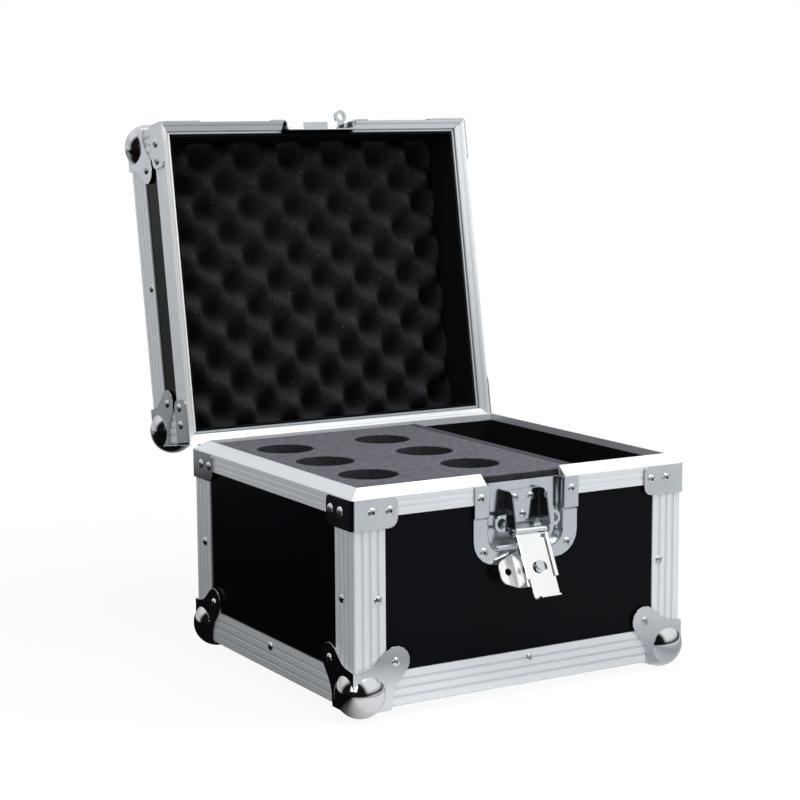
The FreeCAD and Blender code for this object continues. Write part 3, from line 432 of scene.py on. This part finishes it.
def ball_corner(node, side, end, top):
    """Ball corner with its pressed flanges and a true round dome."""
    radius = 21.5 * mm
    dome_inset = 13.0 * mm
    hidden_depth = 1.0 * mm
    facet_depth = 0.7 * mm
    corner_trim = 20.0 * mm
    inward = Vector((-side, -end, -1 if top else 1))
    corner = Vector((side * half_w, end * half_d, lid_top_z if top else rail_z))
    carried = lid_swing if top else Matrix.Identity(4)
    closing = carried.inverted()
    centre = carried @ (corner + inward * dome_inset)

    def on_dome(face):
        return all(abs((vert.co - centre).length - radius) < facet_depth for vert in face.verts)

    done = eased(node, sheet_easing, on_dome)
    work = bmesh.new()
    work.from_mesh(done)
    # The flanges' shared corner is trimmed off under the dome
    outward = carried.to_3x3() @ -inward.normalized()
    bmesh.ops.bisect_plane(work, geom=[*work.verts, *work.edges, *work.faces], clear_outer=True,
                           plane_co=centre + outward * corner_trim, plane_no=outward)
    ball = bmesh.ops.create_uvsphere(work, u_segments=64, v_segments=40, radius=radius)["verts"]
    hidden = []
    for vert in ball:
        vert.co += centre
        spot = closing @ vert.co - corner
        if all(spot[i] * inward[i] > hidden_depth for i in range(3)):
            hidden.append(vert)
    bmesh.ops.delete(work, geom=hidden, context="VERTS")
    for face in work.faces:
        face.smooth = True
    work.to_mesh(done)
    work.free()
    place_piece(node + "_pressed", done, body_of[node], slot_of[node], [node])


# Camera at the photograph's viewing angle
view_azimuth = math.radians(-30.497)
view_elevation = math.radians(8.146)
view_roll = math.radians(-0.324)
view_distance = 1792.18 * mm
view_target = Vector((-31.28 * mm, 0, 237.32 * mm))
image_size = 800.0
principal_x = 401.55
principal_y = 399.57
focal_pixels = 2017.6
back = Vector((math.sin(view_azimuth) * math.cos(view_elevation),
               -math.cos(view_azimuth) * math.cos(view_elevation),
               math.sin(view_elevation)))
right = Vector((0, 0, 1)).cross(back).normalized()
up = back.cross(right)
tilted_right = right * math.cos(view_roll) + up * math.sin(view_roll)
tilted_up = up * math.cos(view_roll) - right * math.sin(view_roll)
lens = bpy.data.cameras.new("photo_camera")
lens.sensor_width = 36.0
lens.lens = focal_pixels / image_size * lens.sensor_width
lens.shift_x = (image_size / 2 - principal_x) / image_size
lens.shift_y = (principal_y - image_size / 2) / image_size
lens.clip_end = 20.0
camera = put("photo_camera", lens)
turn = Matrix((tilted_right, tilted_up, back)).transposed().to_4x4()
camera.matrix_world = Matrix.Translation(view_target + back * view_distance) @ turn
scene.camera = camera

# Floor, world and lamps
scene.view_settings.view_transform = "Standard"
# Directions on the floor from the case to the lit and the unlit side of the studio
toward_lit_side = (0.5, -0.86, 0.0)
toward_dark = (-0.86, -0.5, 0.0)
case_middle = (0, 0, 0.2)


def paper_floor():
    # White paper: bare and bright to the camera, with a faint shadow under the case, and a painted
    # reflection that only metal sees
    made = bpy.data.materials.new("white_paper_floor")
    made.use_nodes = True
    tree = made.node_tree
    tree.nodes.clear()
    place = add(tree, "ShaderNodeTexCoord").outputs["Object"]
    path = add(tree, "ShaderNodeLightPath").outputs
    # Painted reflection: to glossy rays the floor glows like lit paper in front of the case and a black
    # drape behind it, for metal to mirror
    behind = -2.5
    before = 1.5
    mirrored = ramp(tree, share_of(tree, along(tree, place, toward_lit_side), behind, before), (
        (0.075, "#a0a3a6"), (0.31, "#85888b"), (0.37, "#151617"), (0.632, "#0c0c0d"),
        (0.64, "#f4f4f4"), (0.66, "#ffffff"), (0.685, "#a9acb0"), (0.725, "#dfe2e5"),
        (0.9, "#d6dadd"), (0.94, "#cdd1d4"), (0.962, "#ffffff")))
    # Beside the case the painted reflection is lit again on one side and dark on the other
    aside = along(tree, place, toward_dark)
    lit_side = share_of(tree, aside, -0.05, -0.2)
    dark_side = share_of(tree, aside, 0.25, 0.5)
    raised = blend(tree, lit_side, mirrored, linear("#95989b"), "LIGHTEN")
    dimmed = blend(tree, dark_side, raised, linear("#0c0c0d"))
    colour = blend(tree, path["Is Glossy Ray"], linear("#ffffff"), dimmed)
    glow = add(tree, "ShaderNodeEmission", {"Color": colour, "Strength": 1.0}).outputs[0]
    paper = add(tree, "ShaderNodeBsdfDiffuse", {"Color": linear("#f4f4f4")}).outputs[0]
    reach = add(tree, "ShaderNodeVectorMath", {0: place}, operation="LENGTH").outputs["Value"]
    bare = ramp(tree, reach, ((0.4, "#f6f6f6"), (0.85, "#ffffff")))
    seen = arithmetic(tree, "MULTIPLY", path["Is Camera Ray"], bare)
    lit = arithmetic(tree, "MAXIMUM", seen, path["Is Glossy Ray"])
    both = add(tree, "ShaderNodeMixShader", {0: lit, 1: paper, 2: glow}).outputs[0]
    add(tree, "ShaderNodeOutputMaterial", {"Surface": both})
    return made


def studio_floor():
    """Plain pale floor under the case."""
    floor_size = 5.0
    work = bmesh.new()
    bmesh.ops.create_grid(work, x_segments=1, y_segments=1, size=floor_size / 2)
    mesh = bpy.data.meshes.new("studio_floor")
    work.to_mesh(mesh)
    work.free()
    mesh.materials.append(paper_floor())
    piece = put("studio_floor", mesh)


def studio_world():
    """White to the camera; metal mirrors a dim room under a bright ceiling; a soft fill elsewhere."""
    world = bpy.data.worlds.new("white_room")
    scene.world = world
    world.use_nodes = True
    tree = world.node_tree
    tree.nodes.clear()
    path = add(tree, "ShaderNodeLightPath").outputs
    aim = add(tree, "ShaderNodeTexCoord").outputs["Generated"]
    height = share_of(tree, add(tree, "ShaderNodeSeparateXYZ", {0: aim}).outputs["Z"], -1.0, 1.0)
    front_room = ramp(tree, height, (
        (0.4, "#b9bcbf"), (0.49, "#9a9da1"), (0.515, "#2a2b2d"),
        (0.55, "#46484a"), (0.6, "#c8cacb"), (0.68, "#ffffff")))
    back_room = ramp(tree, height, (
        (0.4, "#050505"), (0.435, "#858789"), (0.487, "#dcdfe2"), (0.6, "#c8cacc"), (0.75, "#f4f4f4")))
    lit_share = share_of(tree, along(tree, aim, toward_lit_side), -0.4, 0.1)
    dark_share = share_of(tree, along(tree, aim, toward_dark), 0.35, 0.6)
    mirrored = blend(tree, lit_share, back_room, front_room)
    dimmed = blend(tree, dark_share, mirrored, linear("#161618"))
    filled = blend(tree, path["Is Diffuse Ray"], dimmed, linear("#8c8c8c"))
    shown = blend(tree, path["Is Camera Ray"], filled, linear("#ffffff"))
    sky = add(tree, "ShaderNodeBackground", {"Color": shown, "Strength": 1.0})
    add(tree, "ShaderNodeOutputWorld", {"Surface": sky.outputs[0]})


def soft_box(name, spot, size, power):
    """Square soft lamp aimed at the case."""
    lamp = bpy.data.lights.new(name, "AREA")
    lamp.size = size
    lamp.energy = power
    piece = put(name, lamp)
    piece.location = spot
    piece.rotation_euler = (Vector(case_middle) - Vector(spot)).to_track_quat("-Z", "Y").to_euler()
    return piece


studio_floor()
studio_world()
soft_box("overhead_box", spot=(0.1, -0.2, 1.7), size=1.0, power=16.0)
soft_box("left_box", spot=(-1.5, -0.9, 1.0), size=0.9, power=8.0)
right_box = soft_box("right_box", spot=(1.1, -1.05, 1.4), size=0.9, power=22.0)
# The right lamp would burn out in the latch's mirror, so metal mirrors the bright ceiling there
right_box.visible_glossy = False


def node_group(name, floats, materials):
    """Geometry node group with the named inputs, and the sockets that they come in by."""
    tree = bpy.data.node_groups.new(name, "GeometryNodeTree")
    face = tree.interface
    face.new_socket("Geometry", in_out="INPUT", socket_type="NodeSocketGeometry")
    for label in floats:
        face.new_socket(label, in_out="INPUT", socket_type="NodeSocketFloat")
    for label in materials:
        face.new_socket(label, in_out="INPUT", socket_type="NodeSocketMaterial")
    face.new_socket("Geometry", in_out="OUTPUT", socket_type="NodeSocketGeometry")
    return tree, add(tree, "NodeGroupInput").outputs


def grown(name, seed, tree, values):
    """Plain mesh that a node group grows from a seed mesh with the values given."""
    holder = put(name, seed)
    step = holder.modifiers.new("grown", "NODES")
    step.node_group = tree
    for item in tree.interface.items_tree:
        if item.in_out == "INPUT" and item.name in values:
            step[item.identifier] = values[item.name]
    return baked(holder)


def rivet_tree():
    """Rivet heads on points that carry their facing direction."""
    lengths = ("Head Radius", "Head Height", "Hole Radius")
    tree, enter = node_group("rivet_heads", lengths, ("Plating", "Hole Shade"))
    sides = 20
    cap_share = 0.4
    plug_depth = 0.1 * mm
    # Crown of the head in three sloping bands: (lower radius, upper radius, start, end) as shares
    bands = ((1.0, 0.96, 0.0, 0.3), (0.96, 0.76, 0.3, 0.72), (0.76, cap_share, 0.72, 1.0))

    def of_radius(share):
        return arithmetic(tree, "MULTIPLY", enter["Head Radius"], share)

    def of_height(share):
        return arithmetic(tree, "MULTIPLY", enter["Head Height"], share)

    def raised(part, height):
        lift = add(tree, "ShaderNodeCombineXYZ", {"Z": height}).outputs[0]
        return add(tree, "GeometryNodeTransform", {"Geometry": part, "Translation": lift}).outputs[0]

    def joined(parts):
        whole = add(tree, "GeometryNodeJoinGeometry")
        for part in reversed(parts):
            tree.links.new(part, whole.inputs[0])
        return whole.outputs[0]

    def dressed(part, material):
        return add(tree, "GeometryNodeSetMaterial", {"Geometry": part, "Material": material}).outputs[0]

    tiers = []
    for low, high, start, end in bands:
        band = add(tree, "GeometryNodeMeshCone", {
            "Vertices": sides, "Radius Bottom": of_radius(low), "Radius Top": of_radius(high),
            "Depth": of_height(end - start)}, fill_type="NONE")
        tiers.append(raised(band.outputs["Mesh"], of_height(start)))
    cap = add(tree, "GeometryNodeMeshCircle", {
        "Vertices": sides, "Radius": of_radius(cap_share)}, fill_type="NGON")
    tiers.append(raised(cap.outputs[0], enter["Head Height"]))
    crown = add(tree, "GeometryNodeMergeByDistance", {"Geometry": joined(tiers), "Distance": 0.01 * mm})
    plug = add(tree, "GeometryNodeMeshCylinder", {
        "Vertices": sides, "Radius": enter["Hole Radius"], "Depth": plug_depth})
    plug_up = raised(plug.outputs[0], enter["Head Height"])
    head = joined([dressed(crown.outputs[0], enter["Plating"]), dressed(plug_up, enter["Hole Shade"])])
    facing = add(tree, "GeometryNodeInputNamedAttribute", {"Name": "facing"}, data_type="FLOAT_VECTOR")
    aim = add(tree, "FunctionNodeAlignRotationToVector", {"Vector": facing.outputs[0]}, axis="Z")
    spread = add(tree, "GeometryNodeInstanceOnPoints", {
        "Points": enter["Geometry"], "Instance": head, "Rotation": aim.outputs[0]})
    real = add(tree, "GeometryNodeRealizeInstances", {"Geometry": spread.outputs[0]})
    add(tree, "NodeGroupOutput", {0: real.outputs[0]})
    return tree


rivets = rivet_tree()


def rivet_set(name, body, metal, spots, head):
    """Rivets at (point, facing) spots as one plain mesh; a head is (radius, height, bore)."""
    seeds = bpy.data.meshes.new(name)
    seeds.from_pydata([tuple(point) for point, facing in spots], [], [])
    ways = seeds.attributes.new("facing", "FLOAT_VECTOR", "POINT")
    ways.data.foreach_set("vector", [c for point, facing in spots for c in facing])
    radius, height, bore = head
    done = grown(name, seeds, rivets, {
        "Head Radius": radius, "Head Height": height, "Hole Radius": bore,
        "Plating": metal, "Hole Shade": bore_shade})
    smooth(done, 50)
    place_piece(name, done, body, "nickel_steel")


def opened(spots):
    """Rivet spots set out on the closed lid, swung open with it."""
    return [(lid_swing @ Vector(point), lid_swing.to_3x3() @ Vector(facing)) for point, facing in spots]


def around(inset, z, out):
    """Spots at a distance from each upright corner on all four sides."""
    spots = []
    for side, end in corners:
        spots.append(((side * (half_w - inset), end * (half_d + out), z), (0, end, 0)))
        spots.append(((side * (half_w + out), end * (half_d - inset), z), (side, 0, 0)))
    return spots


def brace_spots(z):
    """Two rivets on each face of the brace corners."""
    near_inset = 17.3 * mm
    far_inset = 33.5 * mm
    out = 2.0 * mm
    return around(near_inset, z, out) + around(far_inset, z, out)


def flange_spots(edge_z, inward):
    """A rivet in each of the three flanges of four ball corners, at the bottom or top of the case."""
    lobe = 38.5 * mm
    out = 1.6 * mm
    spots = around(lobe, edge_z + inward * lobe, out)
    for side, end in corners:
        flat = (side * (half_w - lobe), end * (half_d - lobe), edge_z - inward * out)
        spots.append((flat, (0, 0, -inward)))
    return spots


def post_spots():
    """A rivet halfway up each face of the base's posts."""
    front_inset = 23.0 * mm
    front_rise = 91.4 * mm
    side_inset = 19.0 * mm
    side_rise = 92.0 * mm
    spots = []
    for side, end in corners:
        spots.append(((side * (half_w - front_inset), end * half_d, rail_z + front_rise), (0, end, 0)))
        spots.append(((side * half_w, end * (half_d - side_inset), rail_z + side_rise), (side, 0, 0)))
    return spots


def rail_spots(z, shift):
    """A rivet in the middle of each rail, shifted along the front and the back."""
    spots = []
    for way in (-1, 1):
        spots.append(((shift, way * half_d, z), (0, way, 0)))
        spots.append(((way * half_w, 0, z), (way, 0, 0)))
    return spots


def leaf_spots(z):
    """Four rivets in each of the two hinge leaves."""
    leaf_half = 25.0 * mm
    leaf_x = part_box("hinge_base_leaves")[1][0] - leaf_half
    out = 2.3 * mm
    spots = []
    for side in (-1, 1):
        for shift in (-17 * mm, -6 * mm, 6 * mm, 17 * mm):
            spots.append(((side * leaf_x + shift, half_d + out, z), (0, 1, 0)))
    return spots


def latch_pair(x, z, out):
    """Two spots on the front, at either side of the latch."""
    return [((latch_x + side * x, -half_d - out, z), (0, -1, 0)) for side in (-1, 1)]


def dish_spots(way, far_gap):
    """Rivets in the flange of a latch dish, below or above the seam: a pair near it and a pair far off."""
    near_x = 45.5 * mm
    near_gap = 11.0 * mm
    near_out = 1.7 * mm
    far_x = 42.0 * mm
    far_out = -0.3 * mm
    near = latch_pair(near_x, seam_z + way * near_gap, near_out)
    return near + latch_pair(far_x, seam_z + way * far_gap, far_out)


def handle_spots():
    """Four rivets in each of the handle's two brackets."""
    plate_half = 13.0 * mm
    plate_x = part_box("handle_brackets")[1][0] - plate_half
    plate_y = -16.0 * mm
    spots = []
    for side in (-1, 1):
        for dx in (-8.5 * mm, 8.5 * mm):
            for dy in (-10 * mm, 10 * mm):
                spots.append(((side * plate_x + dx, plate_y + dy, lid_top_z), (0, 0, 1)))
    return spots


# Rivet heads as (radius, height, bore)
blind_head = (4.1 * mm, 1.5 * mm, 1.4 * mm)
solid_head = (3.9 * mm, 1.7 * mm, 0.9 * mm)
bracket_head = (3.3 * mm, 1.4 * mm, 0.9 * mm)
keeper_head = (3.0 * mm, 1.2 * mm, 0.8 * mm)

# How far the rivets sit below or above the seam, and from the bottom and top of the case
brace_drop = 11.3 * mm
brace_rise = 15.0 * mm
lower_dish_drop = 57.0 * mm
upper_dish_rise = 34.0 * mm
leaf_gap = 11.5 * mm
bracket_drop = 14.5 * mm
bracket_foot_drop = 29.2 * mm
keeper_rise = 18.0 * mm
rail_gap = 22.6 * mm

# How far they sit to the side, and out from the front to the floor of the latch dishes
rail_shift = 4.8 * mm
bracket_x = 7.8 * mm
keeper_x = 7.0 * mm
dish_floor_out = -5.5 * mm

base_blind = brace_spots(seam_z - brace_drop) + dish_spots(-1, lower_dish_drop)
lid_blind = brace_spots(seam_z + brace_rise) + dish_spots(1, upper_dish_rise)
base_solid = flange_spots(rail_z, 1) + post_spots()
base_solid += rail_spots(rail_z + rail_gap, rail_shift) + leaf_spots(seam_z - leaf_gap)
lid_solid = flange_spots(lid_top_z, -1)
lid_solid += rail_spots(lid_top_z - rail_gap, 0) + leaf_spots(seam_z + leaf_gap)
bracket_spots = latch_pair(bracket_x, seam_z - bracket_drop, dish_floor_out)
bracket_foot = (latch_x, -half_d - dish_floor_out, seam_z - bracket_foot_drop)
bracket_spots.append((bracket_foot, (0, -1, 0)))
keeper_spots = latch_pair(keeper_x, seam_z + keeper_rise, dish_floor_out)
rivet_set("base_blind_rivets", "base", tumbled, base_blind, blind_head)
rivet_set("base_solid_rivets", "base", burnished, base_solid, solid_head)
rivet_set("bracket_rivets", "base", burnished, bracket_spots, bracket_head)
rivet_set("lid_blind_rivets", "lid", tumbled, opened(lid_blind), blind_head)
rivet_set("lid_solid_rivets", "lid", burnished, opened(lid_solid), solid_head)
rivet_set("keeper_rivets", "lid", burnished, opened(keeper_spots + handle_spots()), keeper_head)


def microphone_foam():
    """Foam block with softly rounded hole mouths."""
    low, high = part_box("microphone_foam")
    easing = 1.2 * mm
    hole = 25.5 * mm
    hole_sides = 64
    hole_depth = 145.0 * mm
    columns = (-109 * mm, -8 * mm)
    rows = (-76 * mm, 0, 76 * mm)
    flat = bpy.data.curves.new("foam_outline", "CURVE")
    flat.dimensions = "2D"
    flat.fill_mode = "BOTH"

    def closed_line(spots):
        line = flat.splines.new("POLY")
        line.points.add(len(spots) - 1)
        for point, (x, y) in zip(line.points, spots):
            point.co = (x, y, 0, 1)
        line.use_cyclic_u = True

    closed_line(((low[0], low[1]), (high[0], low[1]), (high[0], high[1]), (low[0], high[1])))
    angles = [2 * math.pi * i / hole_sides for i in range(hole_sides)]
    for cx in columns:
        for cy in rows:
            closed_line([(cx + hole * math.cos(angle), cy + hole * math.sin(angle)) for angle in angles])
    flat.extrude = hole_depth / 2 - easing
    flat.bevel_depth = easing
    flat.bevel_resolution = 3
    flat.offset = -easing
    mesh = baked(put("foam_outline", flat))
    mesh.transform(Matrix.Translation((0, 0, high[2] - hole_depth / 2)))
    # A slab closes the holes below
    work = bmesh.new()
    work.from_mesh(mesh)
    slab = bmesh.ops.create_cube(work, size=1.0)["verts"]
    size = Vector((high[0] - low[0], high[1] - low[1], high[2] - low[2] - hole_depth))
    middle = Vector(((high[0] + low[0]) / 2, (high[1] + low[1]) / 2, low[2] + size.z / 2))
    spread = Matrix.Translation(middle) @ Matrix.Diagonal((*size, 1))
    bmesh.ops.transform(work, matrix=spread, verts=slab)
    bmesh.ops.remove_doubles(work, verts=work.verts, dist=0.001 * mm)
    work.to_mesh(mesh)
    work.free()
    mesh.materials.clear()
    smooth(mesh, 30)
    piece = place_piece("microphone_foam_cut", mesh, "base", "grey_foam", ["microphone_foam"])


def pad_tree():
    """Sheet of foam bumps in a chequer pattern."""
    lengths = ("Width", "Depth", "Pitch", "Phase", "Bump Height", "Back Thickness")
    tree, enter = node_group("profiled_foam", lengths, ("Foam",))
    points_x = 141
    points_y = 127
    grid = add(tree, "GeometryNodeMeshGrid", {
        "Size X": enter["Width"], "Size Y": enter["Depth"], "Vertices X": points_x, "Vertices Y": points_y})
    spot = add(tree, "ShaderNodeSeparateXYZ", {0: add(tree, "GeometryNodeInputPosition").outputs[0]})
    turns = arithmetic(tree, "DIVIDE", 2 * math.pi, enter["Pitch"])

    def wave(distance):
        return arithmetic(tree, "COSINE", arithmetic(tree, "MULTIPLY", distance, turns))

    across = wave(arithmetic(tree, "SUBTRACT", spot.outputs["X"], enter["Phase"]))
    chequer = arithmetic(tree, "MULTIPLY", across, wave(spot.outputs["Y"]))
    # Swell is 0 in the hollows and 1 on the bumps, which hang down from the back
    swell = arithmetic(tree, "ADD", arithmetic(tree, "MULTIPLY", chequer, 0.5), 0.5)
    rise = arithmetic(tree, "MULTIPLY", swell, enter["Bump Height"])
    drop = arithmetic(tree, "MULTIPLY", arithmetic(tree, "ADD", rise, enter["Back Thickness"]), -1.0)
    lift = add(tree, "ShaderNodeCombineXYZ", {"Z": drop})
    named = add(tree, "GeometryNodeStoreNamedAttribute", {
        "Geometry": grid.outputs[0], "Name": "swell", "Value": swell}, data_type="FLOAT", domain="POINT")
    waved = add(tree, "GeometryNodeSetPosition", {"Geometry": named.outputs[0], "Offset": lift.outputs[0]})
    turned = add(tree, "GeometryNodeFlipFaces", {"Mesh": waved.outputs[0]})
    dressed = add(tree, "GeometryNodeSetMaterial", {
        "Geometry": turned.outputs[0], "Material": enter["Foam"]})
    add(tree, "NodeGroupOutput", {0: dressed.outputs[0]})
    return tree


def lid_pad():
    """Profiled pad under the lid's top, closed at its cut edges and back."""
    half_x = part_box("lid_foam_pad")[1][0]
    half_y = half_x - (half_w - half_d)
    roof_thickness = 10.3 * mm
    mesh = grown("pad_seed", bpy.data.meshes.new("pad_seed"), pad_tree(), {
        "Width": 2 * half_x, "Depth": 2 * half_y, "Pitch": 48.7 * mm, "Phase": -8.0 * mm,
        "Bump Height": 26 * mm, "Back Thickness": 4 * mm, "Foam": finishes["black_foam"]})
    work = bmesh.new()
    work.from_mesh(mesh)
    border = [edge for edge in work.edges if edge.is_boundary]
    walls = bmesh.ops.extrude_edge_only(work, edges=border)["geom"]
    for vert in walls:
        if isinstance(vert, bmesh.types.BMVert):
            vert.co.z = 0
    rim = [edge for edge in work.edges if edge.is_boundary]
    bmesh.ops.contextual_create(work, geom=rim)
    bmesh.ops.recalc_face_normals(work, faces=work.faces)
    work.to_mesh(mesh)
    work.free()
    mesh.transform(lid_swing @ Matrix.Translation((0, 0, lid_top_z - roof_thickness)))
    smooth(mesh, 50)
    piece = place_piece("lid_foam_bumps", mesh, "lid", "black_foam", ["lid_foam_pad"])


microphone_foam()
lid_pad()
for node, easing in board_easing.items():
    refined(node, easing)
sides = {"left": -1, "right": 1}
ends = {"front": -1, "back": 1}
for node in frame["nodes"]:
    slot = slot_of[node]
    if "_ball_corner_" in node:
        body, _, _, end, side = node.split("_")
        ball_corner(node, sides[side], ends[end], body == "lid")
    elif slot in slot_easing:
        refined(node, slot_easing[slot])
